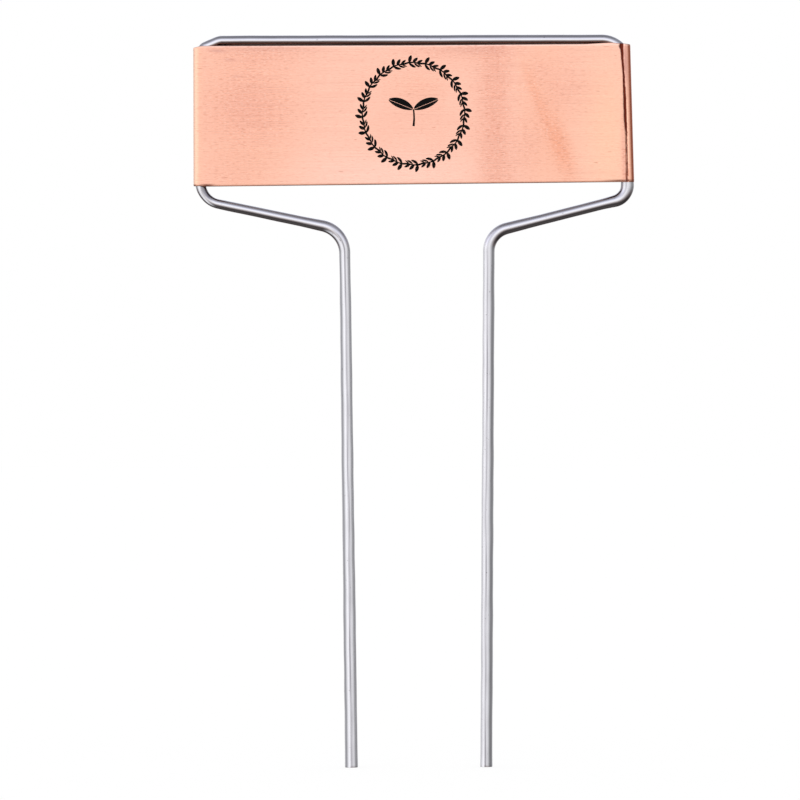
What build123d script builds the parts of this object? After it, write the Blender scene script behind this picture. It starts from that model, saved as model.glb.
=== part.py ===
from build123d import *
from math import atan2, cos, pi, radians, sin, sqrt, tan
import os

# Plant label stake: a bent wire frame that carries a rolled copper name plate.
# Millimetres. X runs across the plate, the plate faces -Y and Z is up.
# The origin is midway across the plate, level with the tips of the legs.

# Wire frame, with bend radii to the middle of the wire
wire_diameter = 2.2
shoulder_height = 116.5  # outer corners of the shoulders above the tips
left_shoulder_drop = 6.3  # fall from the outer corner to the leg
right_shoulder_drop = 7.2
leg_spacing = 29.6  # between the legs at their bends
tip_spacing = 27.7  # between the legs at their tips
leg_shift = 0.55  # both legs stand this far to the right of the plate's middle
top_bend_radius = 3.9
shoulder_bend_radius = 3.2
leg_bend_radius = 4.4

# Name plate
plate_width = 90.0  # over the rolled ends
plate_height = 28.4
sheet_thickness = 0.4
tab_slant_run = 3.0  # where the back tab comes forward to the sheet
tab_land_run = 1.6  # where it lies along the sheet
tab_bend_radius = 0.8  # to the middle of the sheet
seam_gap = 0.1  # between the tab's end and the front sheet

# How the plate sits on the frame
roll_clearance = 0.05  # all round the wire inside a roll
bar_gap = 0.05  # plate's top edge below the top bar
shoulder_gap = 0.5  # plate's lower edge above the shoulder bends
slide_travel = 3.0  # how far the plate can be pushed down the uprights
bend_clearance = 0.1  # past the widest reach of a bend inside the rolls

# Black wreath printed on the plate
print_thickness = 0.08
wreath_radius = 10.5  # to the feet of the sprigs
wreath_shift = 0.1  # to the right of the plate's middle
wreath_rise = 0.1  # above the plate's middle
wreath_start_angle = 95.0
sprig_count = 20
stem_width = 0.27
leaf_length = 1.45
leaf_width = 0.62

# Three leaves on each side of a sprig, from its foot on
outer_place_shares = (0.02, 0.24, 0.49)  # along the sprig's stem
outer_length_shares = (1.0, 0.93, 0.87)
outer_width_shares = (1.05, 0.94, 0.74)
outer_leaf_angles = (78.0, 49.0, 29.0)  # away from the stem
outer_back_share = 0.56  # of a leaf's width, behind the line to its tip
inner_place_shares = (0.0, 0.33, 0.55)
inner_length_shares = (1.1, 0.93, 0.74)
inner_width_shares = (0.78, 0.55, 0.4)
inner_leaf_angles = (29.0, 31.0, 36.0)
inner_back_share = 0.76

# Seedling printed inside the wreath
sprout_leaf_length = 5.6
sprout_leaf_width = 2.1
sprout_leaf_angle = 22.0
sprout_back_share = 0.6
sprout_stem_height = 3.4
sprout_stem_width = 0.45

# Sizes that follow
wire_radius = wire_diameter / 2
roll_inner_radius = wire_radius + roll_clearance
roll_middle_radius = roll_inner_radius + sheet_thickness / 2
roll_outer_radius = roll_inner_radius + sheet_thickness
upright_x = plate_width / 2 - roll_outer_radius
left_leg_x = leg_shift - leg_spacing / 2
right_leg_x = leg_shift + leg_spacing / 2


def shoulder_bend_rise(run, drop):
    """Height of the bend's upper end above the shoulder's outer corner."""
    turn = pi / 2 - atan2(drop, run)
    return shoulder_bend_radius * tan(turn / 2)


def bend_reach(bend_radius, depth):
    """How far in from the upright the wire reaches, this far along its bend."""
    inside_radius = bend_radius - wire_radius
    part = min(max(depth, 0), inside_radius)
    return bend_radius - sqrt(inside_radius**2 - part**2)


left_rise = shoulder_bend_rise(left_leg_x + upright_x, left_shoulder_drop)
right_rise = shoulder_bend_rise(upright_x - right_leg_x, right_shoulder_drop)
plate_bottom = shoulder_height + max(left_rise, right_rise) + shoulder_gap
plate_top = plate_bottom + plate_height
bar_height = plate_top + bar_gap + wire_radius

# The tabs run straight past the widest reach of the bends, up and down the slide.
top_reach = bend_reach(top_bend_radius, top_bend_radius - wire_radius - bar_gap)
shoulder_reach = bend_reach(shoulder_bend_radius, slide_travel - shoulder_gap)
tab_straight_run = max(top_reach, shoulder_reach) + bend_clearance


def wire_frame():
    """One wire: left leg, shoulder and upright, the top bar, then the same down the right."""
    corners = [
        (leg_shift - tip_spacing / 2, 0, 0),
        (left_leg_x, 0, shoulder_height - left_shoulder_drop),
        (-upright_x, 0, shoulder_height),
        (-upright_x, 0, bar_height),
        (upright_x, 0, bar_height),
        (upright_x, 0, shoulder_height),
        (right_leg_x, 0, shoulder_height - right_shoulder_drop),
        (leg_shift + tip_spacing / 2, 0, 0),
    ]
    half_radii = [leg_bend_radius, shoulder_bend_radius, top_bend_radius]
    path = FilletPolyline(*corners, radius=half_radii + half_radii[::-1])
    section = Plane(origin=path @ 0, z_dir=path % 0) * Circle(wire_radius)
    wire = sweep(section, path=path)
    print("wire length", path.length, "volume share", wire.volume / (path.length * pi * wire_radius**2))
    return wire


def rolled_end(side):
    """Middle line of one end of the strip: round the upright, back behind it and to the sheet."""
    arc = ThreePointArc(
        (side * upright_x, -roll_middle_radius),
        (side * (upright_x + roll_middle_radius), 0),
        (side * upright_x, roll_middle_radius),
    )
    slant_x = upright_x - tab_straight_run
    land_x = slant_x - tab_slant_run
    land_y = -roll_inner_radius + seam_gap + sheet_thickness / 2
    tab = FilletPolyline(
        (side * upright_x, roll_middle_radius),
        (side * slant_x, roll_middle_radius),
        (side * land_x, land_y),
        (side * (land_x - tab_land_run), land_y),
        radius=tab_bend_radius,
    )
    return arc.edges() + tab.edges()


def name_plate():
    """A strip with both ends rolled back, as one section carried up the plate's height."""
    front = Line((-upright_x, -roll_middle_radius), (upright_x, -roll_middle_radius))
    middle_line = front.edges() + rolled_end(-1) + rolled_end(1)
    section = trace(middle_line, sheet_thickness)
    return Pos(0, 0, plate_bottom) * extrude(section, plate_height)


def leaf(foot, length, width, angle, back_share, side=1):
    """A pointed leaf between two arcs, leaning to the side from the X direction."""
    lean = radians(angle)
    tip = foot + Vector(length * cos(lean), side * length * sin(lean))
    back = SagittaArc(foot, tip, side * width * back_share)
    front = SagittaArc(tip, foot, side * width * (1 - back_share))
    return make_face([back, front])


def printed(shape):
    """A flat shape raised off the front of the plate."""
    face = Plane(
        origin=(wreath_shift, -roll_outer_radius, plate_bottom + plate_height / 2 + wreath_rise),
        x_dir=(1, 0, 0),
        z_dir=(0, -1, 0),
    )
    return extrude(face * shape, print_thickness)


def sprig_feet(radius):
    """Points evenly round the ring in clockwise order, one for the foot of each sprig."""
    angles = [radians(wreath_start_angle) - 2 * pi * sprig / sprig_count for sprig in range(sprig_count)]
    return [Vector(radius * cos(angle), radius * sin(angle)) for angle in angles]


def sprig_leaves():
    """The leaves of a sprig whose stem runs along X from the origin to the next sprig's foot."""
    stem_length = 2 * wreath_radius * sin(pi / sprig_count)
    outer = zip(outer_place_shares, outer_length_shares, outer_width_shares, outer_leaf_angles)
    inner = zip(inner_place_shares, inner_length_shares, inner_width_shares, inner_leaf_angles)
    leaves = []
    for side, back_share, leaf_shares in ((1, outer_back_share, outer), (-1, inner_back_share, inner)):
        for place_share, length_share, width_share, angle in leaf_shares:
            foot = Vector(stem_length * place_share, 0)
            length = leaf_length * length_share
            leaves.append(leaf(foot, length, leaf_width * width_share, angle, back_share, side))
    return leaves


def wreath_print():
    """A ring of sprigs that all point clockwise, their stems joined end to end."""
    half_stem = stem_width / 2 / cos(pi / sprig_count)
    outside = make_face(Polyline(*sprig_feet(wreath_radius + half_stem), close=True))
    inside = make_face(Polyline(*sprig_feet(wreath_radius - half_stem), close=True))
    feet = sprig_feet(wreath_radius)
    leaves = []
    for foot, next_foot in zip(feet, feet[1:] + feet[:1]):
        stem = Plane(origin=foot, x_dir=next_foot - foot, z_dir=(0, 0, 1))
        leaves += [stem * flat_leaf for flat_leaf in sprig_leaves()]
    return printed(outside - inside + leaves)


def sprout_print():
    """A seedling: a short stem with a leaf to each side."""
    stem_top = Vector(0, sprout_stem_height / 4)
    stem = Pos(0, stem_top.Y - sprout_stem_height / 2) * Rectangle(sprout_stem_width, sprout_stem_height)
    right = leaf(stem_top, sprout_leaf_length, sprout_leaf_width, sprout_leaf_angle, sprout_back_share)
    return printed(stem + right + mirror(right, about=Plane.YZ))


os.makedirs("parts", exist_ok=True)
export_step(wire_frame(), "parts/wire_frame.step")
export_step(name_plate(), "parts/name_plate.step")
export_step(wreath_print(), "parts/wreath_print.step")
export_step(sprout_print(), "parts/sprout_print.step")
print("height", bar_height + wire_radius, "plate from", plate_bottom, "to", plate_top)
print("uprights at", upright_x, "tab straight run", tab_straight_run)
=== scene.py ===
import math
import bpy
import numpy as np
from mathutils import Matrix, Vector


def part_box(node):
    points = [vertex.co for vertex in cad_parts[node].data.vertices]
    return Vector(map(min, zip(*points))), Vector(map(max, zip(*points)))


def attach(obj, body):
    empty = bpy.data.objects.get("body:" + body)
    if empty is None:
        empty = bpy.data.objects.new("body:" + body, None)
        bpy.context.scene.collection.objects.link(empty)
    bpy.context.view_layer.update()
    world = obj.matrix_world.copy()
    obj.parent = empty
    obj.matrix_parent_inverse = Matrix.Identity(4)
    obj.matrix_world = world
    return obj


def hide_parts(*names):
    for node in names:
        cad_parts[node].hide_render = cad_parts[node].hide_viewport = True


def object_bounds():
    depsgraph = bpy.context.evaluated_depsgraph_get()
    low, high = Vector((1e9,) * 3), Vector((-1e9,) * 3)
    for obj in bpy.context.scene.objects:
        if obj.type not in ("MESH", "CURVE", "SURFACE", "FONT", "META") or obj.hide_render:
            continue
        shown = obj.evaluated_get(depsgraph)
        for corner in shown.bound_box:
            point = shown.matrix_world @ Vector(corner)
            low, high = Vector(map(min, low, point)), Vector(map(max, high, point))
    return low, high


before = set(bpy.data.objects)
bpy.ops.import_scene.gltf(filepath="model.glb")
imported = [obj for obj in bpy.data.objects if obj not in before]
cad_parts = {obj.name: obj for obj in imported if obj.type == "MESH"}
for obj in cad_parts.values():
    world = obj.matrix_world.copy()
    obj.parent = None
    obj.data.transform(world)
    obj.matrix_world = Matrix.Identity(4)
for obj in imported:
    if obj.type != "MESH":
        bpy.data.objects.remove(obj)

# Plant label stake: a bent steel wire that carries a rolled copper plate with a black wreath.
# The script works in metres; mm turns a length in millimetres into metres.
mm = 0.001
cadLow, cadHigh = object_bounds()
plateLow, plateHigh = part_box("name_plate")


# Shared helpers

def smoothStep(low, high, value):
    # 0 below low, 1 above high, and 3t^2 - 2t^3 between them
    t = np.clip((value - low) / (high - low), 0, 1)
    return t * t * (3 - 2 * t)


def waves(rng, count, longest, shortest, *axes):
    # sum of sine waves with random directions and phases, wavelengths between longest and shortest
    total = 0
    for wavelength in np.geomspace(longest, shortest, count):
        direction = rng.normal(size=len(axes))
        direction /= np.linalg.norm(direction)
        phase = rng.uniform(0, 2 * np.pi)
        turns = sum(part * axis for part, axis in zip(direction, axes)) / wavelength
        total = total + np.sin(2 * np.pi * turns + phase)
    return total / count


def filletedLine(corners, step):
    # Corners (a, b, radius) joined by straight runs, each corner rounded by an arc of its radius.
    # An arc starts radius * tan(turn / 2) before its corner. Returns dense points and arc lengths.
    points = np.array([corner[:2] for corner in corners], float)
    pieces = [points[:1]]
    for before, corner, after, (_, _, radius) in zip(points, points[1:], points[2:], corners[1:]):
        inward = (corner - before) / np.linalg.norm(corner - before)
        outward = (after - corner) / np.linalg.norm(after - corner)
        cross = inward[0] * outward[1] - inward[1] * outward[0]
        turn = math.atan2(cross, inward @ outward)
        tangentLength = radius * math.tan(abs(turn) / 2)
        side = np.array([-inward[1], inward[0]]) * np.sign(turn)
        centre = corner - inward * tangentLength + side * radius
        swing = np.linspace(0, turn, max(3, int(abs(turn) * radius / step) + 2))[:, None]
        arm = -side * radius
        crossArm = np.array([-arm[1], arm[0]])
        pieces.append(centre + arm * np.cos(swing) + crossArm * np.sin(swing))
    pieces.append(points[-1:])
    line = np.concatenate(pieces)
    lengths = np.concatenate([[0], np.cumsum(np.linalg.norm(np.diff(line, axis=0), axis=1))])
    return line, lengths


def alongLine(line, lengths, places):
    # points at the given arc lengths, and unit directions from just behind each to just ahead of it
    near = lengths[-1] * 1e-5
    points, ahead, behind = (
        np.stack([np.interp(at, lengths, line[:, axis]) for axis in (0, 1)], axis=1)
        for at in (places, places + near, places - near)
    )
    directions = ahead - behind
    return points, directions / np.linalg.norm(directions, axis=1)[:, None]


def gridFaces(rows, columns, closed):
    # quads between neighbouring rows, round the last column to the first when closed
    i = np.arange(rows - 1)[:, None]
    j = np.arange(columns if closed else columns - 1)[None, :]
    across = (j + 1) % columns
    row, nextRow = i * columns, (i + 1) * columns
    quads = np.stack([row + j, row + across, nextRow + across, nextRow + j], -1)
    corners = np.stack([i + 0 * j, i + 0 * j, i + 1 + 0 * j, i + 1 + 0 * j], -1)
    acrossCorners = np.stack([j + 0 * i, j + 1 + 0 * i, j + 1 + 0 * i, j + 0 * i], -1)
    return quads.reshape(-1, 4), corners.reshape(-1), acrossCorners.reshape(-1)


def signedVolume(points, quads):
    # a sum of tetrahedra from the origin: positive when the faces point outwards
    a, b, c, d = (points[quads[:, k]] for k in range(4))
    first = np.einsum("ij,ij->i", a, np.cross(b, c))
    second = np.einsum("ij,ij->i", a, np.cross(c, d))
    return (first.sum() + second.sum()) / 6


def smoothTrack(places, stations):
    # value at each place between stations (place, value), easing from one station to the next
    at, values = np.array(stations, float).T
    before = np.clip(np.searchsorted(at, places) - 1, 0, len(at) - 2)
    ease = smoothStep(at[before], at[before + 1], places)
    return values[before] + (values[before + 1] - values[before]) * ease


def patches(spots, x, z):
    # sum of soft spots strength * exp(-(across / half width)^2 - (along / half height)^2), each leaning
    total = 0
    for spotX, spotZ, halfWidth, halfHeight, lean, strength in spots:
        a, b = x - spotX * mm, z - spotZ * mm
        turned = math.radians(lean)
        across = (a * math.cos(turned) + b * math.sin(turned)) / (halfWidth * mm)
        along = (b * math.cos(turned) - a * math.sin(turned)) / (halfHeight * mm)
        total = total + strength * np.exp(-across**2 - along**2)
    return total


def closedPiece(name, grid, uvGrid, caps, attributes, sharpAngle=35):
    # A grid of closed rings becomes a mesh; caps are the extra faces that shut its ends.
    rows, columns = grid.shape[:2]
    points = grid.reshape(-1, 3)
    quads, cornerRows, cornerColumns = gridFaces(rows, columns, True)
    uv = uvGrid[cornerRows, cornerColumns].reshape(-1, 4, 2)
    if signedVolume(points, quads) < 0:
        quads, uv = quads[:, ::-1], uv[:, ::-1]
        caps = [cap[::-1] for cap in caps]
    mesh = bpy.data.meshes.new(name)
    mesh.from_pydata(points.tolist(), [], quads.tolist() + [list(map(int, cap)) for cap in caps])
    layer = mesh.uv_layers.new(name="surface")
    capUv = np.concatenate([uvGrid[:, :columns].reshape(-1, 2)[list(cap)] for cap in caps])
    layer.data.foreach_set("uv", np.concatenate([uv.reshape(-1, 2), capUv]).astype(np.float32).ravel())
    for label, values in attributes.items():
        attribute = mesh.attributes.new(label, "FLOAT", "POINT")
        attribute.data.foreach_set("value", np.ascontiguousarray(values, np.float32).ravel())
    mesh.shade_smooth()
    mesh.set_sharp_from_angle(angle=math.radians(sharpAngle))
    mesh.validate()
    piece = bpy.data.objects.new(name, mesh)
    bpy.context.scene.collection.objects.link(piece)
    print(name, "faces", len(mesh.polygons), "volume", signedVolume(points, quads))
    return piece


# Material helpers

def newMaterial(name):
    # a material with its node tree and its shader
    material = bpy.data.materials.new(name)
    material.use_nodes = True
    tree = material.node_tree
    shader = tree.nodes["Principled BSDF"]
    return material, tree, shader


def addNode(tree, kind, inputs=None, **settings):
    # an input that is a socket is linked, and any other is set as a value
    node = tree.nodes.new(kind)
    for key, value in settings.items():
        setattr(node, key, value)
    for key, value in (inputs or {}).items():
        if isinstance(value, bpy.types.NodeSocket):
            tree.links.new(value, node.inputs[key])
        else:
            node.inputs[key].default_value = value
    return node


def math2(tree, operation, first, second=0.0, clamp=False):
    node = addNode(tree, "ShaderNodeMath", {0: first, 1: second}, operation=operation, use_clamp=clamp)
    return node.outputs[0]


def mapRange(tree, value, low, high, toLow=0.0, toHigh=1.0, smooth=True):
    kind = "SMOOTHSTEP" if smooth else "LINEAR"
    inputs = {"Value": value, "From Min": low, "From Max": high, "To Min": toLow, "To Max": toHigh}
    return addNode(tree, "ShaderNodeMapRange", inputs, interpolation_type=kind).outputs["Result"]


def mixColour(tree, factor, first, second, blend="MIX"):
    inputs = {0: factor, 6: first, 7: second}  # 6 and 7 are a mix node's colours, and 2 is its result
    return addNode(tree, "ShaderNodeMix", inputs, data_type="RGBA", blend_type=blend).outputs[2]


def noise(tree, coordinates, scale, detail=3.0, roughness=0.55, stretch=(1, 1, 1), shift=(0, 0, 0)):
    mapped = addNode(tree, "ShaderNodeMapping", {"Vector": coordinates, "Scale": stretch, "Location": shift})
    inputs = {"Vector": mapped.outputs[0], "Scale": scale, "Detail": detail, "Roughness": roughness}
    return addNode(tree, "ShaderNodeTexNoise", inputs).outputs["Fac"]


def attributeValue(tree, name):
    return addNode(tree, "ShaderNodeAttribute", attribute_name=name).outputs["Fac"]


def colour(red, green, blue):
    # an sRGB colour of 0 to 255 as the linear colour that a shader takes
    share = np.array([red, green, blue]) / 255
    linear = np.where(share <= 0.04045, share / 12.92, ((share + 0.055) / 1.055) ** 2.4)
    return (*map(float, linear), 1.0)


# Wire frame

wireValues = {
    "radius": 1.1 * mm,
    "step": 0.25 * mm,  # between rings
    "arcStep": 0.04 * mm,  # between points of the bends
    "sides": 32,
    # corners in mm as (across, up, bend radius), from the left tip round to the right tip
    "corners": [
        (-13.20, 0.0, 0.0),  # left tip
        (-14.14, 110.08, 5.8),  # left leg bend
        (-41.78, 116.0, 4.4),  # left shoulder, bent in two steps
        (-43.66, 118.68, 4.6),
        (-43.2, 147.5, 1.35),  # top left, a tight bend and a shallow one
        (-39.6, 149.03, 3.0),
        (40.95, 148.92, 5.4),  # top right
        (43.25, 146.6, 2.4),
        (43.95, 116.50, 3.4),  # right shoulder
        (15.46, 109.46, 4.8),  # right leg bend
        (14.45, 0.0, 0.0),  # right tip
    ],
    # share of the radius near these places (across, up), in order along the wire: the bends are swollen
    "thickness": [
        (-13.20, 0.0, 1.19),
        (-13.50, 35.0, 1.17),
        (-13.80, 75.0, 1.10),
        (-14.10, 103.0, 1.05),
        (-16.40, 110.5, 1.1),
        (-24.00, 112.2, 0.97),
        (-37.00, 115.0, 0.94),
        (-42.30, 117.0, 0.88),
        (-43.60, 119.3, 0.97),
        (-43.65, 121.0, 1.0),
        (40.00, 148.9, 1.0),
        (43.80, 122.2, 1.0),
        (43.90, 120.0, 1.2),
        (43.90, 119.0, 1.22),
        (43.10, 116.9, 1.18),
        (38.00, 115.0, 1.0),
        (27.00, 112.3, 1.0),
        (17.30, 109.9, 1.12),
        (15.30, 103.0, 1.09),
        (15.10, 75.0, 1.105),
        (14.45, 0.0, 1.13),
    ],
    "oval": (0.05, -0.01),  # share of the radius the section is out of round on the legs, and above
    "ovalHeights": (100 * mm, 108 * mm),  # one gives way to the other between these
    "ovalTurn": 45,  # degrees from the front to the oval's long side
    "depthLimit": 1.03,  # share of the radius the bends beside the plate may reach forward and back
    "besidePlate": (114 * mm, 117 * mm),  # heights over which that limit sets in
    "endBevel": 0.07 * mm,
    "waver": 0.03 * mm,  # hand-bent unevenness of the centre line
    "steadyEnd": 12 * mm,  # it fades out over this length towards the tips
    # painted reflection: a dark line down the legs, and painted shade on the outer side: degrees from
    # the front, on the left and on the right leg
    "lineAngle": (4.5, 15),
    "lineWidth": 6.5,
    "sideShadeAngle": (-50, -33),
    "sideShadeWidth": 17,
    "sideShadeShare": (1.0, 0.5),
    "sideChange": (0.4, 0.6),  # shares of the length where the left leg's values give way to the right's
    "steel": colour(222, 221, 226),
    "darkSteel": colour(212, 211, 217),
    "paleSteel": colour(228, 228, 233),
    # painted reflection of a dark line down the legs, also the painted shade inside the lower bends
    "reflectionLineAndShadeColour": colour(134, 131, 138),
    # painted shade down the wire's outer side
    "sideShadeColour": colour(146, 146, 151),
    "shadeColour": colour(160, 145, 139),  # painted shade low on the bar, on its underside
    "barHeights": (145 * mm, 148 * mm),  # heights over which it sets in
    # the lower outer bends get painted shade on the inside: the sine of the ring's angle where that
    # starts and where it is full, on the left bend and on the right one
    "bendInside": ((-0.2, 0.25), (0.5, 0.8)),
    "bendLow": (115.4 * mm, 116.9 * mm),  # it sets in over these heights,
    "bendHigh": (124 * mm, 121 * mm),  # fades over these
    "bendAcross": (40 * mm, 42 * mm),  # and sets in this far from the middle
    "bendInsideShade": 0.9,
    "pitColour": colour(100, 96, 98),
    "streakNoise": (9000, 90, 1),  # cells a metre round the wire and along it
    "speckNoise": (2600, 1500, 1),
    "mottleNoise": 260,
    "roughness": 0.1,
}


def makeWire(values):
    # The centre line lies in the plane of the frame. A ring at arc length s and angle a is
    # line(s) + r(s, a) * (front * cos a + right * sin a), where right is the line's own right hand
    # and r(s, a) = thickness(s) * (1 + oval(s) * cos 2(a - turn)). Beside the plate the cos a part is
    # multiplied by the smaller of 1 and depthLimit / thickness(s).
    corners = [(a * mm, b * mm, r * mm) for a, b, r in values["corners"]]
    line, lengths = filletedLine(corners, values["arcStep"])
    total = lengths[-1]
    bevel = values["endBevel"]
    places = np.linspace(0, total, int(total / values["step"]))
    places = np.concatenate([[0, bevel * 0.35], places[1:-1], [total - bevel * 0.35, total]])
    points, directions = alongLine(line, lengths, places)
    rng = np.random.default_rng(7)
    across = waves(rng, 5, 70 * mm, 9 * mm, places) * values["waver"]
    depth = waves(rng, 5, 90 * mm, 12 * mm, places) * values["waver"]
    steady = values["steadyEnd"]
    hold = smoothStep(0, steady, places) * smoothStep(0, steady, total - places)
    rightHand = np.stack([directions[:, 1], -directions[:, 0]], axis=1)
    points = points + rightHand * (across * hold)[:, None]
    stations = []
    for x, z, share in values["thickness"]:
        nearest = np.argmin(np.hypot(points[:, 0] - x * mm, points[:, 1] - z * mm))
        stations.append((places[nearest], share))
    thickness = smoothTrack(places, stations)
    radius = values["radius"] * thickness * (1 + 0.004 * waves(rng, 4, 30 * mm, 3 * mm, places))
    fromEnd = np.minimum(places, total - places)
    radius = radius - bevel * np.clip(1 - fromEnd / bevel, 0, 1) ** 2
    sides = values["sides"]
    angles = np.linspace(-np.pi, np.pi, sides + 1)
    ringAngles = angles[:-1]
    turned = np.radians(values["ovalTurn"]) + 0.35 * waves(rng, 4, 60 * mm, 8 * mm, places)
    oval = np.interp(points[:, 1], values["ovalHeights"], values["oval"])[:, None]
    reach = radius[:, None] * (1 + oval * np.cos(2 * (ringAngles - turned[:, None])))
    sideways = rightHand[:, None, :] * (reach * np.sin(ringAngles))[..., None]
    grid = np.empty((len(places), sides, 3))
    grid[..., 0] = points[:, None, 0] + sideways[..., 0]
    grid[..., 2] = points[:, None, 1] + sideways[..., 1]
    # beside the plate the swollen bends are no deeper than the rolls are wide
    besidePlate = smoothStep(*values["besidePlate"], points[:, 1])
    slim = 1 - besidePlate * (1 - np.minimum(1, values["depthLimit"] / thickness))
    grid[..., 1] = (depth * hold)[:, None] - reach * np.cos(ringAngles) * slim[:, None]
    uvGrid = np.stack(np.broadcast_arrays(angles * values["radius"], places[:, None]), -1)
    last = (len(places) - 1) * sides
    caps = [np.arange(sides)[::-1], last + np.arange(sides)]
    # the painted reflection line and the painted side shade show on the legs and uprights and fade where the
    # wire runs level
    upright = smoothStep(0.35, 0.9, np.abs(directions[:, 1]))
    sway = 5 * waves(rng, 3, 80 * mm, 20 * mm, places)
    attributes = {}
    for name in ("line", "sideShade"):
        middle = np.interp(places / total, values["sideChange"], values[name + "Angle"]) + sway
        middle = np.radians(middle)[:, None]
        width = np.radians(values[name + "Width"])
        attributes[name] = np.exp(-(((ringAngles - middle) / width) ** 2)) * upright[:, None]
    sideShadeShare = np.interp(places / total, values["sideChange"], values["sideShadeShare"])
    attributes["sideShade"] *= sideShadeShare[:, None]
    # painted shade on the inside of the lower outer bends, in the painted line's colour
    left, right = (smoothStep(*span, np.sin(ringAngles))[None, :] for span in values["bendInside"])
    atBend = smoothStep(*values["bendLow"], points[:, 1]) * smoothStep(*values["bendHigh"], points[:, 1])
    atBend = atBend * smoothStep(*values["bendAcross"], np.abs(points[:, 0]))
    inside = np.where(points[:, :1] < 0, left, right) * atBend[:, None]
    attributes["line"] = np.maximum(attributes["line"], values["bendInsideShade"] * inside)
    # painted shade on the underside of the top bar
    below = (points[:, None, 1] - grid[..., 2]) / reach
    onBar = smoothStep(*values["barHeights"], points[:, 1])
    attributes["shade"] = smoothStep(-0.05, 0.35, below) * onBar[:, None]
    return closedPiece("wireFrame", grid, uvGrid, caps, attributes)


def wireMaterial(values):
    # steel from dark to pale by noise, then painted side shade, the painted reflection line and bend shade,
    # painted shade under the bar, and the pits over it
    material, tree, shader = newMaterial("galvanised steel")
    surface = addNode(tree, "ShaderNodeUVMap", uv_map="surface").outputs[0]
    place = addNode(tree, "ShaderNodeTexCoord").outputs["Object"]
    streaks = noise(tree, surface, 1.0, 4, 0.6, values["streakNoise"])
    mottle = noise(tree, place, values["mottleNoise"], 3, 0.6)
    specks = noise(tree, surface, 1.0, 2, 0.5, values["speckNoise"], (3, 8, 0))
    pits = mapRange(tree, specks, 0.69, 0.75)
    steel = mixColour(tree, mapRange(tree, streaks, 0.25, 0.75), values["darkSteel"], values["steel"])
    steel = mixColour(tree, mapRange(tree, mottle, 0.35, 0.7, 0, 0.3), steel, values["paleSteel"])
    # painted shade down the outer side
    steel = mixColour(tree, attributeValue(tree, "sideShade"), steel, values["sideShadeColour"])
    # painted reflection line down the legs and painted shade inside the lower bends
    reflectionLineAndShade = attributeValue(tree, "line")
    steel = mixColour(tree, reflectionLineAndShade, steel, values["reflectionLineAndShadeColour"])
    # painted shade under the bar
    steel = mixColour(tree, attributeValue(tree, "shade"), steel, values["shadeColour"])
    steel = mixColour(tree, math2(tree, "MULTIPLY", pits, 0.8), steel, values["pitColour"])
    tree.links.new(steel, shader.inputs["Base Color"])
    shader.inputs["Metallic"].default_value = 1
    rough = mapRange(tree, mottle, 0.3, 0.75, values["roughness"], values["roughness"] + 0.08)
    rough = math2(tree, "ADD", rough, math2(tree, "MULTIPLY", reflectionLineAndShade, 0.12))
    rough = math2(tree, "ADD", rough, math2(tree, "MULTIPLY", pits, 0.2))
    tree.links.new(rough, shader.inputs["Roughness"])
    height = math2(tree, "ADD", math2(tree, "MULTIPLY", streaks, 0.5), math2(tree, "MULTIPLY", pits, -1.5))
    bump = addNode(tree, "ShaderNodeBump", {"Height": height, "Strength": 0.35, "Distance": 0.01 * mm})
    tree.links.new(bump.outputs[0], shader.inputs["Normal"])
    return material


wireFrame = makeWire(wireValues)
wireFrame.data.materials.append(wireMaterial(wireValues))
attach(wireFrame, "frame")
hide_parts("wire_frame")
print("wire frame made")


# Name plate

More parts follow.
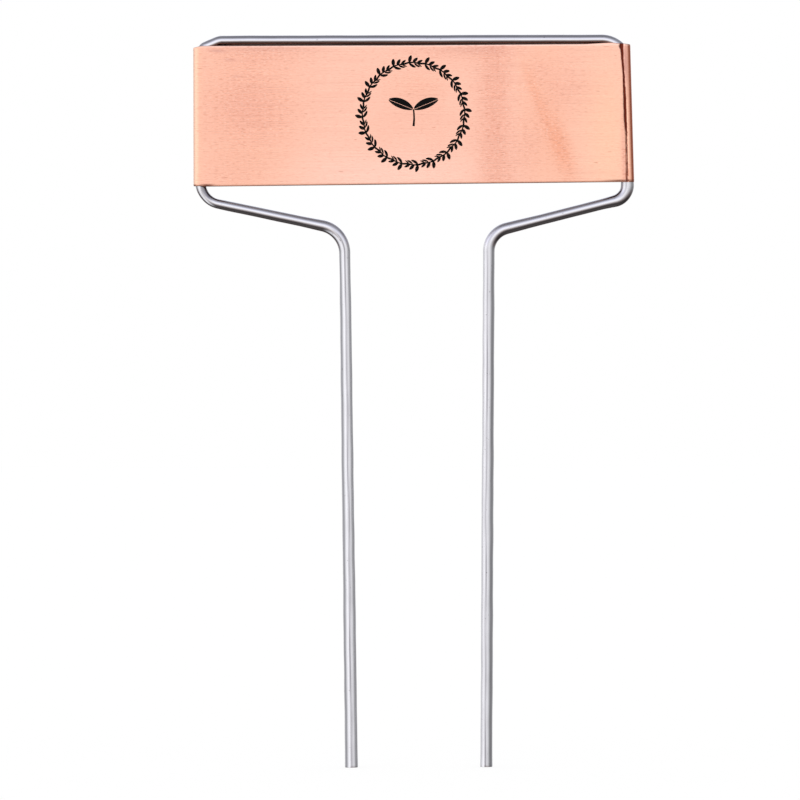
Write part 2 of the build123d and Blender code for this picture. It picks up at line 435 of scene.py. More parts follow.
plateValues = {
    "thickness": 0.4 * mm,
    "rollRadius": 1.35 * mm,  # to the middle of the sheet
    "uprightX": 43.45 * mm,
    "leftRollShift": (0.0, -0.06),  # mm of shift at the top and at the bottom
    "rightRollShift": (-0.4, 0.28),
    # the cut edges' heights above the plate's box: mm across, mm
    "topEdge": [(-45, 0.0), (0, -0.05), (36, 0.05), (38.3, 0.2), (40.4, 0.3), (41.2, 0.31), (42.3, 0.18),
                (43.5, 0.12), (45, 0.07)],
    "bottomEdge": [(-45, -0.32), (-43.8, -0.36), (-42.8, -0.46), (0, -0.17), (45, 0.13)],
    "tabStraight": 3.47 * mm,
    "tabSlant": 3.0 * mm,
    "tabLand": 1.6 * mm,
    "tabBend": 0.8 * mm,
    "seamGap": 0.1 * mm,
    "tabTrim": 0.5 * mm,  # the tabs stop this far short of the plate's top and bottom
    "cornerDrop": (0.32 * mm, 0.1 * mm),  # the left and right rolled ends' top edges draw in this much
    "rollPower": 0.66,  # 1 for round rolls, less for squarer ones
    "edgeRadius": 0.13 * mm,
    "edgeFall": 0.03 * mm,  # the front leans back this much towards its cut edges
    "edgeFallWidth": 0.4 * mm,
    "rows": 116,
    "rowBunch": 0.6,  # 0 for even rows, nearer 1 for rows that crowd at the cut edges
    "leanAcross": (15 * mm, 34 * mm),  # the ends' shift sets in over these distances from the middle
    "waveHeight": 0.03 * mm,
    "longWaves": (60 * mm, 14 * mm),  # longest and shortest
    "shortWaves": (12 * mm, 5 * mm),
    "shortShare": 0.18,
    # fold beside the right roll: share of the height from the top, mm across, half its width in mm,
    # how dark its painted shade is
    "crease": [
        (0.0, 42.76, 0.42, 1.0),
        (0.02, 42.70, 0.47, 1.0),
        (0.04, 42.86, 0.31, 1.0),
        (0.1, 42.92, 0.23, 0.9),
        (0.21, 43.19, 0.22, 0.9),
        (0.32, 43.32, 0.26, 1.0),
        (0.43, 43.41, 0.31, 1.0),
        (0.54, 43.50, 0.31, 1.0),
        (0.61, 43.62, 0.27, 0.85),
        (0.68, 43.71, 0.24, 0.68),
        (0.8, 43.76, 0.25, 0.65),
        (1.0, 43.81, 0.25, 0.65),
    ],
    "creaseDepth": 0.24 * mm,
    # tints and their soft spots in mm: across, up, half width, half height, lean in degrees, strength
    "tones": {
        # the gold spot on the left roll, at -44.4 mm, is painted shading round the roll's curve
        "gold": (colour(252, 198, 167), [(40.0, 129, 6.5, 17, 0, 0.75), (-44.4, 134, 1.0, 60, 0, 0.8)]),
        "pale": (colour(252, 202, 184), [(-6, 121.5, 20, 4.5, 0, 0.9), (20.6, 134, 1.6, 14, 0, 0.35)]),
        "blush": (colour(246, 187, 161), [(-35.0, 133, 11.0, 24, 0, 0.9), (27.0, 134, 6.5, 26, 0, 0.9)]),
        "rose": (colour(236, 173, 151), [
            (-33.7, 135.4, 9.0, 8.5, 0, 1.0),
            (-31.0, 146.5, 11.0, 3.0, 0, 0.55),
            (-37.0, 122.0, 8.0, 4.0, 0, 0.3),
            (16.8, 134.0, 3.6, 30, 0, 0.95),
            (8.0, 147.0, 11.0, 2.2, 0, 0.5),
            (24.4, 128.5, 3.4, 7.0, -15, 0.45),
            (30.5, 139.5, 6.0, 6.0, 0, 0.45),
            # the next spot is painted shade in a strip beside the fold
            (43.0, 124.0, 0.5, 9.0, 0, 0.9),
            (26.0, 143.0, 2.2, 2.6, 0, 0.3),
        ]),
        "amber": (colour(238, 166, 136), [
            (25.4, 137.3, 1.1, 7.0, 20, 0.55),
            (30.0, 127.0, 2.0, 6.5, 17, 0.9),
            (1.0, 139.5, 7.0, 4.0, 0, 0.25),
        ]),
        "smudge": (colour(206, 150, 138), [
            (-30.5, 147.4, 9.0, 0.8, 0, 0.4),
            (-40.0, 146.9, 1.6, 0.35, -4, 0.6),
            (-37.4, 145.1, 1.2, 0.3, -6, 0.5),
            (-36.0, 141.7, 1.0, 0.25, 0, 0.4),
            (14.0, 147.0, 7.0, 0.9, 0, 0.3),
            (43.8, 144.2, 0.45, 5.0, 0, 0.9),
        ]),
        # painted highlight on the left roll's outer edge
        "leftRollHighlight": (colour(255, 222, 200), [(-44.9, 134, 0.5, 60, 0, 0.65)]),
        # painted reflection of copper, darker, on the right roll's outer edge
        "rightRollReflection": (colour(206, 114, 84), [(44.86, 134, 0.44, 60, 0, 2.2)]),
        # painted highlight along the top cut edge
        "topEdgeHighlight": (colour(255, 224, 210), [(0, 147.85, 60, 0.2, 0, 0.7)]),
        # painted shade along the bottom cut edge
        "bottomEdgeShade": (colour(206, 150, 126), [(0, 119.6, 60, 0.17, 0.38, 0.8)]),
        "shadow": (colour(88, 32, 16), [
            (-44.7, 119.42, 0.5, 0.2, 0, 0.8),
            (-42.2, 119.42, 1.4, 0.22, 0, 1.0),
            (42.5, 120.04, 3.2, 0.16, 0.38, 0.95),
        ]),
    },
    "copper": colour(246, 192, 171),
    "dashColour": colour(204, 134, 112),
    "liftColour": colour(255, 222, 206),
    "markColour": colour(190, 118, 96),
    "backCopper": colour(214, 146, 122),
    # painted shade in the fold
    "creaseShadeColour": colour(112, 46, 32),
    "worn": 0.3,  # how strong the brushing is away from the rose and amber patches
    # cells a metre along the strip and up it
    "dashNoise": (900, 4200, 1),
    "fineNoise": (1700, 7500, 1),
    "scratchNoise": (60, 8000, 1),
    "markNoise": (420, 2600, 1),
    "cloudNoise": 85,
    "raggedNoise": 1500,
    "roughness": 0.3,
}


def plateSection(values):
    # Middle line of the strip, seen from above: left tab, left roll, front, right roll, right tab.
    out = values["uprightX"] + values["rollRadius"]
    rollY = values["rollRadius"]
    slantX = values["uprightX"] - values["tabStraight"]
    landX = slantX - values["tabSlant"]
    endX = landX - values["tabLand"]
    landY = -(values["rollRadius"] - values["thickness"]) + values["seamGap"]
    right = [(out, -rollY, rollY), (out, rollY, rollY), (slantX, rollY, values["tabBend"])]
    right += [(landX, landY, values["tabBend"]), (endX, landY, 0.0)]
    left = [(-x, y, radius) for x, y, radius in right[::-1]]
    return filletedLine(left + right, 0.02 * mm)


def plateColumns(values, lengths):
    # arc lengths of the columns: close together on the rolls and at the crease, wide apart between
    total = lengths[-1]
    tab = values["tabLand"] + values["tabSlant"] + values["tabStraight"] + 1.2 * mm
    roll = math.pi * values["rollRadius"] + 0.8 * mm
    start = tab + roll
    crease = total - start - 2.9 * mm
    spans = [(0, tab, 0.3), (tab, start, 0.13), (start, crease, 0.5), (crease, total - start, 0.06)]
    spans += [(total - start, total - tab, 0.13), (total - tab, total, 0.3)]
    columns = [np.linspace(a, b, int((b - a) / (step * mm)) + 1, endpoint=False) for a, b, step in spans]
    return np.concatenate(columns + [[total]])


def plateWave(values, x, z):
    # gentle unevenness of the sheet: long waves and a trace of shorter ones
    rng = np.random.default_rng(22)
    long = waves(rng, 6, *values["longWaves"], x + 0 * z, z)
    short = waves(rng, 6, *values["shortWaves"], x + 0 * z, z)
    return (long + short * values["shortShare"]) * values["waveHeight"]


def makePlate(values):
    # A point of the sheet is section(s) + normal(s) * offset at height z, where the offset runs
    # round the sheet's own thin section: up the front, over the top edge, down the back, under.
    line, lengths = plateSection(values)
    places = plateColumns(values, lengths)
    points, directions = alongLine(line, lengths, places)
    outward = np.stack([directions[:, 1], -directions[:, 0]], axis=1)
    # round a roll the sine and cosine of the turn are raised to a power, which squares it off
    onRoll = np.abs(points[:, 0]) > values["uprightX"]
    side = np.sign(points[onRoll])
    arm = np.abs(points[onRoll]) - [values["uprightX"], 0]
    arm = np.clip(arm / values["rollRadius"], 0, 1)
    points[onRoll] = side * ([values["uprightX"], 0] + values["rollRadius"] * arm ** values["rollPower"])
    outward[onRoll] = side * arm ** (2 - values["rollPower"])
    outward = outward / np.linalg.norm(outward, axis=1)[:, None]
    half = values["thickness"] / 2
    edge = values["edgeRadius"]
    rows = values["rows"]
    turn = np.linspace(0, np.pi / 2, 5)[1:-1]
    flat = half - edge
    edgePoints = 2 * len(turn) + 2  # round one cut edge
    # loop round the sheet: offset, then height as a share of the side and a length past it
    up = np.linspace(0, 1, rows)
    up = up - values["rowBunch"] * np.sin(2 * np.pi * up) / (2 * np.pi)  # rows crowd at the cut edges
    offset = np.concatenate([np.full(rows, half), flat + edge * np.cos(turn), [flat, -flat],
                             -flat - edge * np.sin(turn), np.full(rows, -half),
                             -flat - edge * np.cos(turn), [-flat, flat], flat + edge * np.sin(turn)])
    shareUp = np.concatenate([up, np.ones(edgePoints), up[::-1], np.zeros(edgePoints)])
    past = np.concatenate([np.zeros(rows), edge * np.sin(turn), [edge, edge], edge * np.cos(turn),
                           np.zeros(rows), -edge * np.sin(turn), [-edge, -edge], -edge * np.cos(turn)])
    x0, y0 = points[:, :1], points[:, 1:]
    # the rolled ends draw in a little at the top, and the tabs stop short
    around = smoothStep(values["uprightX"] - 0.4 * mm, values["uprightX"] + values["rollRadius"], np.abs(x0))
    onTab = smoothStep(0, 1.2 * mm, values["uprightX"] - np.abs(x0)) * (y0 > -values["rollRadius"] * 0.9)
    trim = values["tabTrim"] * onTab
    topEdge, bottomEdge = (
        np.interp(x0, *(np.array(values[edges]).T * mm)) for edges in ("topEdge", "bottomEdge")
    )
    drop = np.where(x0 < 0, *values["cornerDrop"]) * around
    bottom = plateLow.z + edge + trim + bottomEdge
    top = plateHigh.z - edge - trim - drop + topEdge
    z = bottom + (top - bottom) * shareUp[None, :] + past[None, :]
    share = np.clip((plateHigh.z - z) / (plateHigh.z - plateLow.z), 0, 1)  # 0 at the top edge
    onFace = (y0 < -values["rollRadius"] * 0.98) * smoothStep(0, 5 * mm, values["uprightX"] - np.abs(x0))
    outerSkin = smoothStep(0, half, offset)[None, :]
    leftShift = np.interp(share, [0, 1], values["leftRollShift"]) * mm
    rightShift = np.interp(share, [0, 1], values["rightRollShift"]) * mm
    # the fold is a groove exp(-((x - line) / half width)^4) in the outer skin
    shares, creaseX, creaseHalf, darkness = np.array(values["crease"]).T
    rng = np.random.default_rng(21)
    creaseLine = np.interp(share, shares, creaseX) * mm + waves(rng, 5, 6 * mm, 0.9 * mm, z) * 0.05 * mm
    fromCrease = (x0 + rightShift - creaseLine) / (np.interp(share, shares, creaseHalf) * mm)
    groove = np.exp(-(fromCrease**4)) * (y0 < 0)
    toEdge = np.minimum(z - bottom + edge, top + edge - z)
    fall = values["edgeFall"] * np.clip(1 - toEdge / values["edgeFallWidth"], 0, 1) ** 2 * (y0 < 0)
    ripple = plateWave(values, x0, z) * (0.25 + 0.75 * onFace)
    lift = offset[None, :] + ripple - (groove * values["creaseDepth"] + fall) * outerSkin
    lean = values["leanAcross"]
    shift = leftShift * smoothStep(*lean, -x0) + rightShift * smoothStep(*lean, x0)
    grid = np.empty((len(places), len(offset), 3))
    grid[..., 0] = x0 + shift + outward[:, :1] * lift
    grid[..., 1] = y0 + outward[:, 1:] * lift
    grid[..., 2] = z
    loopUv = np.concatenate([z, z[:, :1]], axis=1)
    uvGrid = np.stack(np.broadcast_arrays(places[:, None], loopUv), -1)
    # each cut end is closed by a ladder of quads, from every front point to the back point behind it
    columns = len(offset)
    front = np.arange(-edgePoints // 2, rows + edgePoints // 2)
    a, b = front[:-1], front[1:]
    across = 2 * rows + edgePoints - 1
    ladder = np.stack([a, b, across - b, across - a], -1) % columns
    last = (len(places) - 1) * columns
    caps = list(ladder[:, ::-1]) + list(last + ladder)
    attributes = {"outerSkin": np.broadcast_to(outerSkin, z.shape)}
    # painted shade in the fold's groove, as dark as the table gives
    attributes["crease"] = groove * outerSkin * np.interp(share, shares, darkness)
    for name, (_, spots) in values["tones"].items():
        attributes[name] = np.clip(patches(spots, x0 + 0 * z, z), 0, 1)
    return closedPiece("namePlate", grid, uvGrid, caps, attributes)


def copperMaterial(values):
    # copper with each tone mixed in by its patches, some of them painted light and shade, then the brushing,
    # the bare back and the fold's painted shade
    material, tree, shader = newMaterial("brushed copper")
    surface = addNode(tree, "ShaderNodeUVMap", uv_map="surface").outputs[0]
    place = addNode(tree, "ShaderNodeTexCoord").outputs["Object"]
    clouds = noise(tree, place, values["cloudNoise"], 3, 0.5, shift=(0.31, 0, 0.12))
    dashes = noise(tree, surface, 1.0, 2, 0.55, values["dashNoise"])
    fine = noise(tree, surface, 1.0, 2, 0.5, values["fineNoise"], (4, 9, 0))
    scratches = noise(tree, surface, 1.0, 2, 0.5, values["scratchNoise"], (5, 3, 0))
    marks = noise(tree, surface, 1.0, 1, 0.5, values["markNoise"], (11, 2, 0))
    rose = values["tones"]["rose"][0]
    base = mixColour(tree, mapRange(tree, clouds, 0.4, 0.7, 0, 0.2), values["copper"], rose)
    worn = values["worn"]
    for name, (tone, _) in values["tones"].items():
        amount = attributeValue(tree, name)
        base = mixColour(tree, amount, base, tone)
        if name in ("rose", "amber"):
            worn = math2(tree, "ADD", amount, worn, clamp=True)
    dark = math2(tree, "MULTIPLY", mapRange(tree, dashes, 0.48, 0.72, 0, 0.6), worn)
    base = mixColour(tree, dark, base, values["dashColour"])
    light = math2(tree, "MULTIPLY", mapRange(tree, fine, 0.5, 0.3, 0, 0.4), worn)
    base = mixColour(tree, light, base, values["liftColour"])
    base = mixColour(tree, mapRange(tree, scratches, 0.55, 0.75, 0, 0.1), base, values["dashColour"])
    base = mixColour(tree, mapRange(tree, marks, 0.73, 0.78, 0, 0.5), base, values["markColour"])
    inner = math2(tree, "SUBTRACT", 1.0, attributeValue(tree, "outerSkin"))
    base = mixColour(tree, math2(tree, "MULTIPLY", inner, 0.8), base, values["backCopper"])
    # painted shade in the fold, ragged by noise
    ragged = noise(tree, place, values["raggedNoise"], 2, 0.6)
    crease = math2(tree, "ADD", attributeValue(tree, "crease"), math2(tree, "MULTIPLY", ragged, 0.5))
    crease = mapRange(tree, crease, 0.5, 1.0)
    base = mixColour(tree, crease, base, values["creaseShadeColour"])
    tree.links.new(base, shader.inputs["Base Color"])
    shader.inputs["Metallic"].default_value = 1
    rough = mapRange(tree, scratches, 0.3, 0.7, values["roughness"] - 0.04, values["roughness"] + 0.06)
    rough = math2(tree, "ADD", rough, math2(tree, "MULTIPLY", crease, 0.2))
    tree.links.new(rough, shader.inputs["Roughness"])
    height = math2(tree, "MULTIPLY", dashes, worn)
    height = math2(tree, "ADD", height, math2(tree, "MULTIPLY", scratches, 0.3))
    bump = addNode(tree, "ShaderNodeBump", {"Height": height, "Strength": 0.3, "Distance": 0.01 * mm})
    tree.links.new(bump.outputs[0], shader.inputs["Normal"])
    return material


namePlate = makePlate(plateValues)
namePlate.data.materials.append(copperMaterial(plateValues))
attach(namePlate, "plate")
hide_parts("name_plate")
print("name plate made")


# Black wreath and seedling

printValues = {
    "across": 0.1 * mm,  # the wreath's middle, right of the plate's middle
    "up": 0.1 * mm,  # and above it
    "film": 0.08 * mm,
    "sunk": 0.03 * mm,  # the film's back lies this deep in the plate's skin, so no gap shows
    "around": 8,  # points round a section of the film
    "sidePower": 0.7,  # 1 for a round section, less for a squarer one
    "frontPower": 0.5,
    "ringRadius": 10.5 * mm,  # to the feet of the sprigs
    "startAngle": 95,
    "sprigs": 20,
    "closingSprig": 14,  # where the ring of sprigs closes with a slightly longer stem
    "closingGap": 1.0,  # degrees
    "stemDip": 0.17 * mm,  # the stem sags inwards between two feet
    "dipPower": 1.8,  # 1 for a dip midway, more for one nearer the next foot
    "stemHalf": (0.2 * mm, 0.14 * mm),  # half its width at a foot, and between the leaves
    "stemThins": (0.05, 0.2),  # shares of the way to the next foot over which it thins
    "stemThickens": (0.4, 0.6),
    "stemSteps": 10,  # points from foot to foot
    "leafLength": 1.6 * mm,
    "leafWidth": 0.76 * mm,
    # leaves of a sprig: place along it, length and width as shares, degrees away from its stem
    "outer": [(0.02, 1.0, 1.05, 78), (0.24, 0.93, 0.94, 49), (0.49, 0.87, 0.74, 29)],
    "inner": [(0.0, 1.1, 0.78, -29), (0.33, 0.93, 0.55, -31), (0.55, 0.74, 0.4, -36)],
    "outerBack": 0.56,  # share of a leaf's width behind the line to its tip
    "innerBack": 0.76,
    "leafPower": 0.75,  # 1 for a leaf between two arcs, less for a fuller one
    "leafReach": 0.47,  # the leaf's line is drawn this far to both sides of its middle, as a share
    "sproutLeaf": 5.6 * mm,
    "sproutWidth": 2.1 * mm,
    "sproutAngle": 22,
    "sproutBack": 0.6,
    "sproutStem": 3.4 * mm,
    "sproutStemHalf": 0.225 * mm,
    "sproutBend": 0.12 * mm,  # sideways bow of its stem
    "sproutJoin": 0.05 * mm,  # the stem runs this far up between the leaves
    "vein": 0.075 * mm,  # half the bare line along a seedling's leaf
    "veinLimit": 0.7,  # but no more than this share of the half leaf
    "ink": colour(5, 5, 6),
    "grainInk": colour(14, 13, 13),
    "grainNoise": 2400,
    "gloss": 0.08,
    "roughness": 0.6,
}


def filmStroke(values, line, left, right, closed=False):
    # A section at each point of the line reaches left and right of it; at angle a round the section
    # the point is reach * |cos a|^sidePower sideways and film * |sin a|^frontPower in front of the
    # plate's skin. Its back lies flat, sunk in the skin.
    if closed:
        tangent = np.roll(line, -1, axis=0) - np.roll(line, 1, axis=0)
    else:
        tangent = np.gradient(line, axis=0)
    tangent = tangent / np.linalg.norm(tangent, axis=1)[:, None]
    sideways = np.stack([-tangent[:, 1], tangent[:, 0]], axis=1)
    angles = (np.arange(values["around"]) + 0.5) / values["around"] * 2 * np.pi
    cosine, sine = np.cos(angles), np.sin(angles)
    boxed = np.sign(cosine) * np.abs(cosine) ** values["sidePower"]
    reach = np.where(cosine > 0, left[:, None], right[:, None]) * boxed
    front = np.where(sine > 0, values["film"] * np.abs(sine) ** values["frontPower"], -values["sunk"])
    flat = line[:, None, :] + sideways[:, None, :] * reach[..., None]
    x = flat[..., 0] + values["across"]
    z = flat[..., 1] + (plateLow.z + plateHigh.z) / 2 + values["up"]
    skin = -plateValues["rollRadius"] - plateValues["thickness"] / 2 - plateWave(plateValues, x, z)
    points = np.stack([x, skin - front, z], -1).reshape(-1, 3)
    rows, columns = x.shape
    i = np.arange(rows if closed else rows - 1)[:, None]
    j = np.arange(columns)[None, :]
    row, nextRow = i * columns, (i + 1) % rows * columns
    beside = (j + 1) % columns
    quads = np.stack([row + j, row + beside, nextRow + beside, nextRow + j], -1).reshape(-1, 4)
    caps = [] if closed else [np.arange(columns)[::-1], (rows - 1) * columns + np.arange(columns)]
    if signedVolume(points - points.mean(axis=0), quads) < 0:
        quads, caps = quads[:, ::-1], [cap[::-1] for cap in caps]
    return points, [list(map(int, face)) for face in list(quads) + caps]


def leafStroke(values, foot, heading, length, back, front, count=8, gap=0):
    # A leaf along a straight line, each side's half width times (4 t (1 - t))^leafPower, with points
    # closer at its ends. A gap leaves a bare vein, so the leaf becomes two half leaves.
    t = 0.5 - values["leafReach"] * np.cos(np.linspace(0, np.pi, count))
    bow = (4 * t * (1 - t)) ** values["leafPower"]
    direction = np.array([math.cos(heading), math.sin(heading)])
    line = foot + direction * (t * length)[:, None]
    if not gap:
        return [filmStroke(values, line, back * bow, front * bow)]
    limit = values["veinLimit"]
    return [
        filmStroke(values, line, back * bow, -np.minimum(gap, back * bow * limit)),
        filmStroke(values, line, -np.minimum(gap, front * bow * limit), front * bow),
    ]


def inkPiece(name, strokes, sharpAngle=50):
    # strokes are closed shells that are gathered in one mesh
    points, faces, count = [], [], 0
    for strokePoints, strokeFaces in strokes:
        points.append(strokePoints)
        faces += [[corner + count for corner in face] for face in strokeFaces]
        count += len(strokePoints)
    mesh = bpy.data.meshes.new(name)
    mesh.from_pydata(np.concatenate(points).tolist(), [], faces)
    mesh.shade_smooth()
    mesh.set_sharp_from_angle(angle=math.radians(sharpAngle))
    mesh.validate()
    piece = bpy.data.objects.new(name, mesh)
    bpy.context.scene.collection.objects.link(piece)
    print(name, "faces", len(faces))
    return piece


def sprigFeet(values):
    # angles of the feet in radians, clockwise; just after the closing sprig they lag and catch up again
    sprigs = np.arange(values["sprigs"] + 1)
    even = values["startAngle"] - sprigs * 360 / values["sprigs"]
    after = sprigs - values["closingSprig"]
    lag = np.where(after >= 0, np.clip(1 - after / 4, 0, 1), 0) * values["closingGap"]
    return np.radians(even - lag)


def makeWreath(values):
    # The stem runs from foot to foot at radius - dip * (1 - cos(2 pi part^dipPower)) / 2, thin between
    # the leaves and thicker towards the next foot.
    feet = sprigFeet(values)
    radius = values["ringRadius"]
    part = np.arange(values["stemSteps"]) / values["stemSteps"]
    angles = (feet[:-1, None] + (feet[1:] - feet[:-1])[:, None] * part).ravel()
    dip = values["stemDip"] * (1 - np.cos(2 * np.pi * part ** values["dipPower"])) / 2
    thick, thin = values["stemHalf"]
    thinned = smoothStep(*values["stemThins"], part)
    half = thick + (thin - thick) * thinned * (1 - smoothStep(*values["stemThickens"], part))
    ring = np.tile(radius - dip, len(feet) - 1)
    halves = np.tile(half, len(feet) - 1)
    stem = np.stack([ring * np.cos(angles), ring * np.sin(angles)], axis=1)
    strokes = [filmStroke(values, stem, halves, halves, closed=True)]
    for start, end in zip(feet[:-1], feet[1:]):
        foot = radius * np.array([math.cos(start), math.sin(start)])
        run = radius * np.array([math.cos(end), math.sin(end)]) - foot
        heading = math.atan2(run[1], run[0])
        for side, leaves, back in ((1, "outer", "outerBack"), (-1, "inner", "innerBack")):
            for place, length, width, angle in values[leaves]:
                wide = values["leafWidth"] * width
                bulges = [wide * values[back], wide * (1 - values[back])][::side]
                leafFoot, turned = foot + run * place, heading + math.radians(angle)
                strokes += leafStroke(values, leafFoot, turned, values["leafLength"] * length, *bulges)
    return inkPiece("wreathPrint", strokes)


def makeSprout(values):
    # a seedling: a slightly bowed stem, wider at its foot, and a veined leaf to each side
    top = np.array([0, values["sproutStem"] / 4])
    t = np.linspace(0, 1, 16)
    bend = values["sproutBend"] * np.sin(np.pi * t)
    join = values["sproutJoin"]
    line = np.stack([bend, top[1] + join - (values["sproutStem"] + join) * t], axis=1)
    half = values["sproutStemHalf"] * (0.75 + 0.35 * t**2)
    strokes = [filmStroke(values, line, half, half)]
    wide = values["sproutWidth"] * values["sproutBack"]
    narrow = values["sproutWidth"] * (1 - values["sproutBack"])
    lean = math.radians(values["sproutAngle"])
    for heading, back, front in ((lean, wide, narrow), (math.pi - lean, narrow, wide)):
        strokes += leafStroke(values, top, heading, values["sproutLeaf"], back, front, 24, values["vein"])
    return inkPiece("sproutPrint", strokes)


def inkMaterial(values):
    # ink and a paler ink mixed by a fine grain, which also makes it rougher and uneven
    material, tree, shader = newMaterial("black ink")
    place = addNode(tree, "ShaderNodeTexCoord").outputs["Object"]
    grain = noise(tree, place, values["grainNoise"], 3, 0.6)
    ink = mixColour(tree, mapRange(tree, grain, 0.35, 0.7), values["ink"], values["grainInk"])
    tree.links.new(ink, shader.inputs["Base Color"])
    shader.inputs["Specular IOR Level"].default_value = values["gloss"]
    tree.links.new(mapRange(tree, grain, 0.3, 0.7, values["roughness"] - 0.08, values["roughness"] + 0.1),
                   shader.inputs["Roughness"])
    bump = addNode(tree, "ShaderNodeBump", {"Height": grain, "Strength": 0.2, "Distance": 0.01 * mm})
    tree.links.new(bump.outputs[0], shader.inputs["Normal"])
    return material


ink = inkMaterial(printValues)
for printed, node in ((makeWreath(printValues), "wreath_print"), (makeSprout(printValues), "sprout_print")):
    printed.data.materials.append(ink)
    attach(printed, "plate")
    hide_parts(node)
print("prints made")


# Studio

studioValues = {
    "photoSpan": 0.2050 * mm * 800,  # what the picture's 800 pixels cover at the plate
    "lens": 300,
    "sensor": 36,
    "aim": (-2.92 * mm, 0.0, 75.26 * mm),  # what the picture's middle looks at
    "roll": 0.248,  # degrees the frame leans to the left in the picture
    "clip": (0.01, 100),  # nearest and farthest that the camera sees
    "floorSide": 12.0,
    "floorDrop": 0.005 * mm,  # below the legs' tips
    "floorGrey": 0.95,
    "floorRoughness": 0.9,
    "floorGlow": 1.02,
    "floorGlowShare": 0.8,  # of what the camera sees
    # level of what the metal mirrors, by direction: degrees to the right of the front, level
    "round": [
        (-180, 0.9), (-152, 0.68), (-128, 0.58), (-106, 0.7), (-80, 0.88), (-57, 1.0),
        (-37, 1.06), (-17, 1.0), (0, 0.9), (25, 0.82), (44, 0.73), (60, 0.5),
        (76, 0.32), (90, 0.27), (120, 0.28), (150, 0.5), (180, 0.9),
    ],
    # degrees above the horizon, level
    "upright": [
        (-90, 0.15), (-62, 0.07), (-48, 0.08), (-37, 0.15), (-27, 0.36),
        (-17, 0.72), (-8, 1.05), (0, 1.32), (10, 1.5), (22, 1.42),
        (32, 1.12), (44, 0.75), (56, 0.46), (68, 0.3), (90, 0.28),
    ],
    "leftGlow": 1.3,  # level low down at the left
    # parts of a direction where that glow starts and where it is full: to the left, down, to the front
    "leftAcross": (-0.28, -0.66),
    "leftDown": (0.0, -0.15),
    "leftFront": (0.25, -0.25),
    "steep": (0.6, 0.9),  # straight up and down the level round about gives way to one level
    "steepLevel": 0.9,
    "lowTint": (1.0, 0.88, 0.85),
    "highTint": (0.95, 0.96, 1.06),
}


def rampNode(tree, factor, low, high, stops, tints=None, tintFrom=12):
    # a ramp with a stop at (position - low) / (high - low) for each position and level; stops more
    # than tintFrom degrees towards an end take that end's tint
    node = addNode(tree, "ShaderNodeValToRGB", {"Fac": factor})
    ramp = node.color_ramp
    ramp.interpolation = "EASE"
    for position, level in stops:
        share = (position - low) / (high - low)
        if position == stops[0][0]:
            stop = ramp.elements[0]
            stop.position = share
        elif position == stops[-1][0]:
            stop = ramp.elements[len(ramp.elements) - 1]
            stop.position = share
        else:
            stop = ramp.elements.new(share)
        tint = np.ones(3)
        for end, colourAtEnd in (tints or {}).items():
            if position * np.sign(end) > tintFrom:
                tint = np.array(colourAtEnd)
        stop.color = (*(level * tint), 1)
    return node.outputs["Color"]


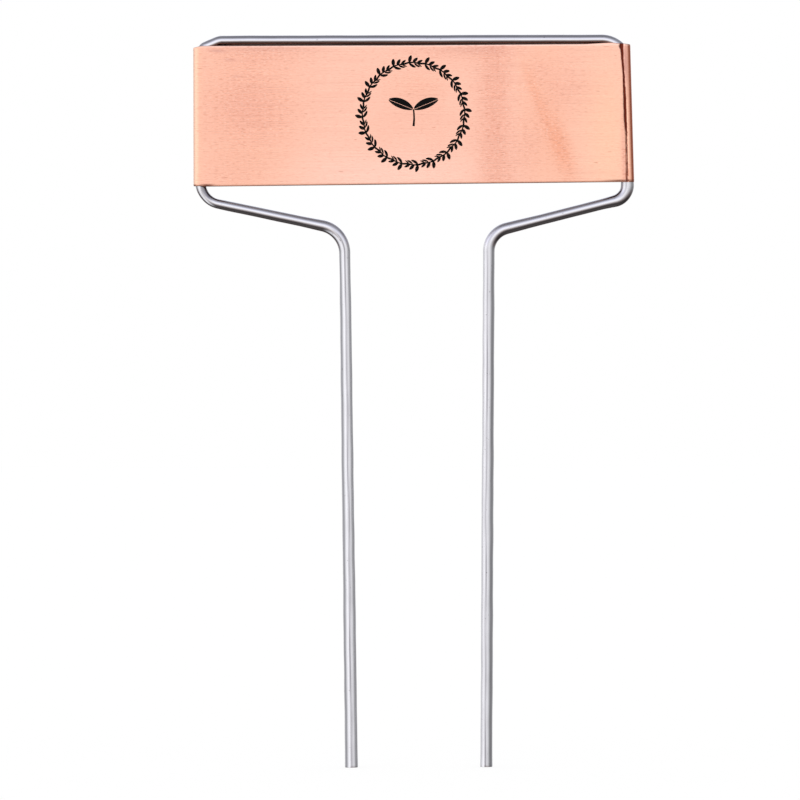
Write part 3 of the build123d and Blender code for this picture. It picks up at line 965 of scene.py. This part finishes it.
def makeWorld(values):
    # The camera sees plain white. Soft surfaces get plain white light from all round. Metal mirrors
    # a white backdrop, two soft boxes at the front and a dim ceiling, sides and ground.
    world = bpy.data.worlds.new("studio")
    bpy.context.scene.world = world
    world.use_nodes = True
    tree = world.node_tree
    tree.nodes.clear()
    direction = addNode(tree, "ShaderNodeTexCoord").outputs["Generated"]
    parts = addNode(tree, "ShaderNodeSeparateXYZ", {"Vector": direction})
    x, y, z = parts.outputs
    bearing = math2(tree, "ARCTAN2", x, math2(tree, "MULTIPLY", y, -1.0))
    bearing = mapRange(tree, bearing, -math.pi, math.pi, smooth=False)
    rise = mapRange(tree, math2(tree, "ARCSINE", z), -math.pi / 2, math.pi / 2, smooth=False)
    roundLevel = rampNode(tree, bearing, -180, 180, values["round"])
    tints = {-90: values["lowTint"], 90: values["highTint"]}
    upLevel = rampNode(tree, rise, -90, 90, values["upright"], tints)
    atLeft = mapRange(tree, x, *values["leftAcross"])
    lowLeft = math2(tree, "MULTIPLY", atLeft, mapRange(tree, z, *values["leftDown"]))
    lowLeft = math2(tree, "MULTIPLY", lowLeft, mapRange(tree, y, *values["leftFront"]))
    upLevel = mixColour(tree, lowLeft, upLevel, (values["leftGlow"],) * 3 + (1,))
    steep = mapRange(tree, math2(tree, "ABSOLUTE", z), *values["steep"])
    roundLevel = mixColour(tree, steep, roundLevel, (values["steepLevel"],) * 3 + (1,))
    mirrored = mixColour(tree, 1.0, roundLevel, upLevel, "MULTIPLY")
    rays = addNode(tree, "ShaderNodeLightPath")
    seen = mixColour(tree, rays.outputs["Is Glossy Ray"], (1, 1, 1, 1), mirrored)
    straight = math2(tree, "MAXIMUM", rays.outputs["Is Camera Ray"], rays.outputs["Is Transmission Ray"])
    seen = mixColour(tree, straight, seen, (1, 1, 1, 1))
    background = addNode(tree, "ShaderNodeBackground", {"Color": seen})
    output = addNode(tree, "ShaderNodeOutputWorld")
    tree.links.new(background.outputs[0], output.inputs[0])


def makeFloor(values):
    # a pale square under the tips that mostly glows for the camera and that metal doesn't mirror
    half = values["floorSide"] / 2
    mesh = bpy.data.meshes.new("floor")
    level = cadLow.z - values["floorDrop"]
    mesh.from_pydata([(-half, -half, level), (half, -half, level), (half, half, level), (-half, half, level)],
                     [], [(0, 1, 2, 3)])
    floor = bpy.data.objects.new("floor", mesh)
    bpy.context.scene.collection.objects.link(floor)
    material, tree, shader = newMaterial("pale floor")
    shader.inputs["Base Color"].default_value = (values["floorGrey"],) * 3 + (1,)
    shader.inputs["Roughness"].default_value = values["floorRoughness"]
    glow = addNode(tree, "ShaderNodeEmission", {"Strength": values["floorGlow"]})
    rays = addNode(tree, "ShaderNodeLightPath")
    share = math2(tree, "MULTIPLY", rays.outputs["Is Camera Ray"], values["floorGlowShare"])
    both = addNode(tree, "ShaderNodeMixShader", {0: share, 1: shader.outputs[0], 2: glow.outputs[0]})
    tree.links.new(both.outputs[0], tree.nodes["Material Output"].inputs[0])
    mesh.materials.append(material)
    floor.visible_glossy = False


def makeCamera(values):
    # far off with a long lens: the picture's span over the sensor is the distance over the lens
    distance = values["photoSpan"] * values["lens"] / values["sensor"]
    camera = bpy.data.cameras.new("camera")
    camera.lens = values["lens"]
    camera.sensor_width = values["sensor"]
    camera.clip_start, camera.clip_end = values["clip"]
    holder = bpy.data.objects.new("camera", camera)
    bpy.context.scene.collection.objects.link(holder)
    x, y, z = values["aim"]
    holder.location = (x, y - distance, z)
    holder.rotation_euler = (math.pi / 2, math.radians(values["roll"]), 0)
    bpy.context.scene.camera = holder


makeWorld(studioValues)
makeFloor(studioValues)
makeCamera(studioValues)
bpy.context.scene.view_settings.view_transform = "Standard"
print("studio made")
